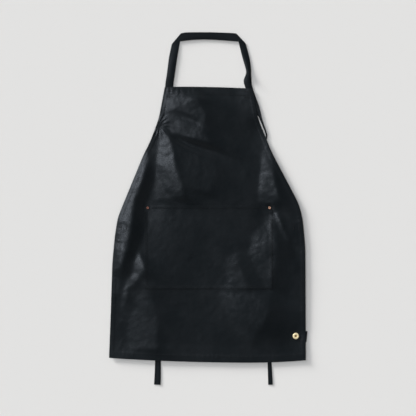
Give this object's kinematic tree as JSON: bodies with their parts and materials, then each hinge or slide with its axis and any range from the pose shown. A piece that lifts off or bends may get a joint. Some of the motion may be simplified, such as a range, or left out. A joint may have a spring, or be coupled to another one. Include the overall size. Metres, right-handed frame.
{
  "type": "bib apron",
  "caption": "Artist's bib apron of dark waxed cotton, laid flat, with a wide riveted pocket, neck strap, waist ties and a brass ring button.",
  "frame": {"origin": "centre of the apron's footprint without its ties, on the surface that it lies on", "axes": "+X to the viewer's right, +Y from the hem to the neck, +Z out of the cloth's front"},
  "size_m": [0.633, 1.1279, 0.0099],
  "materials": {
    "waxed_cotton": "near-black waxed cotton, soft sheen",
    "pocket_cotton": "near-black waxed cotton, soft sheen",
    "strap_cotton": "folded strap of the same cloth",
    "tie_cotton": "folded tape of the same cloth",
    "label_cloth": "plain black woven tab",
    "black_thread": "matt sewing thread",
    "copper_rivet": "copper, slightly tarnished",
    "button_brass": "polished brass",
    "shank_metal": "brass, dull",
    "tack_metal": "plain nail"
  },
  "bodies": {
    "apron": {"apron_body": "waxed_cotton", "pocket_panel": "pocket_cotton", "neck_strap_left_end": "strap_cotton", "neck_strap_right_end": "strap_cotton", "waist_tie_left_end": "tie_cotton", "waist_tie_right_end": "tie_cotton", "pocket_rivet_caps": "copper_rivet", "pocket_rivet_washers": "copper_rivet", "button_shank": "shank_metal", "button_tack": "tack_metal", "bib_hem_thread": "black_thread", "bottom_hem_thread": "black_thread", "left_armhole_thread": "black_thread", "right_armhole_thread": "black_thread", "left_side_thread": "black_thread", "right_side_thread": "black_thread", "pocket_seam_thread": "black_thread", "pocket_hem_thread": "black_thread", "neck_strap_tacks": "black_thread", "waist_tie_tacks": "black_thread"},
    "neck_strap": {"neck_strap": "strap_cotton"},
    "left_tie": {"waist_tie_left": "tie_cotton"},
    "right_tie": {"waist_tie_right": "tie_cotton"},
    "label": {"side_label": "label_cloth"},
    "button": {"button_cap": "button_brass"}
  },
  "joints": [
    {"name": "neck_strap_fold", "type": "hinge", "parent": "apron", "child": "neck_strap", "pos_m": [0, 0.3535, 0.0045], "axis": [1, 0, 0], "range_deg": [0, 175]},
    {"name": "left_tie_swing", "type": "hinge", "parent": "apron", "child": "left_tie", "pos_m": [-0.289, -0.096, 0.00095], "axis": [0, 1, 0], "range_deg": [0, 180]},
    {"name": "right_tie_swing", "type": "hinge", "parent": "apron", "child": "right_tie", "pos_m": [0.299, -0.096, 0.00095], "axis": [0, -1, 0], "range_deg": [0, 180]},
    {"name": "label_flip", "type": "hinge", "parent": "apron", "child": "label", "pos_m": [0.3115, -0.4458, 0.0029], "axis": [0, -1, 0], "range_deg": [-80, 80]},
    {"name": "button_spin", "type": "hinge", "parent": "apron", "child": "button", "pos_m": [0.2794, -0.4432, 0.007], "axis": [0, 0, 1], "continuous": true}
  ]
}
